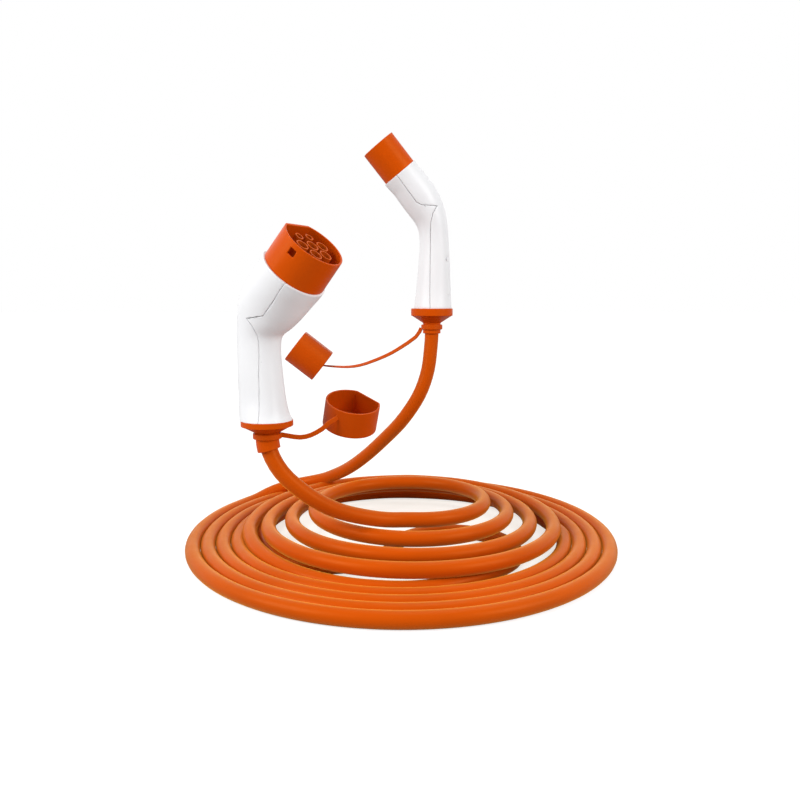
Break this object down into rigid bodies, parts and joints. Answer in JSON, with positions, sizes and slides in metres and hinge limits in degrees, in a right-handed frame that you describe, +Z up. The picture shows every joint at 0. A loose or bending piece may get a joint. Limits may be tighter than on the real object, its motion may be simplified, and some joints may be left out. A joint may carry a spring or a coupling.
{
  "type": "electric vehicle charging cable",
  "caption": "Coiled charging cable with a large skirted plug and a slimmer connector, each angled on a grip, with tethered caps.",
  "frame": {"origin": "on the floor at the middle of the coil", "axes": "+Z up, +X to the right and -Y toward the viewer of the picture"},
  "size_m": [0.516, 0.516, 0.4886],
  "materials": {
    "orange_moulding": "satin gloss",
    "carrier": "satin",
    "white_shell": "satin gloss",
    "contact": "silver plated",
    "screw": "zinc plated",
    "inner_plastic": "matte",
    "seal_rubber": "matte",
    "sheath": "satin",
    "cap_rubber": "satin"
  },
  "bodies": {
    "root": {"plug_skirt": "orange_moulding", "plug_carrier": "carrier", "plug_power_pins": "contact", "plug_signal_pins": "contact", "plug_seal": "seal_rubber", "plug_back_shell": "white_shell", "plug_front_shell": "white_shell", "plug_cable_clamp": "inner_plastic", "plug_clamp_screws": "screw", "plug_shell_screws": "screw", "plug_hole_plugs": "white_shell", "plug_strain_relief": "orange_moulding", "plug_cable_end": "sheath", "plug_cap": "cap_rubber", "connector_nose": "orange_moulding", "connector_carrier": "carrier", "connector_power_sockets": "contact", "connector_signal_sockets": "contact", "connector_seal": "seal_rubber", "connector_back_shell": "white_shell", "connector_front_shell": "white_shell", "connector_cable_clamp": "inner_plastic", "connector_clamp_screws": "screw", "connector_shell_screws": "screw", "connector_hole_plugs": "white_shell", "connector_strain_relief": "orange_moulding", "connector_cable_end": "sheath", "connector_cap": "cap_rubber", "cable_coil": "sheath", "plug_lead": "sheath", "connector_lead": "sheath"}
  },
  "joints": []
}
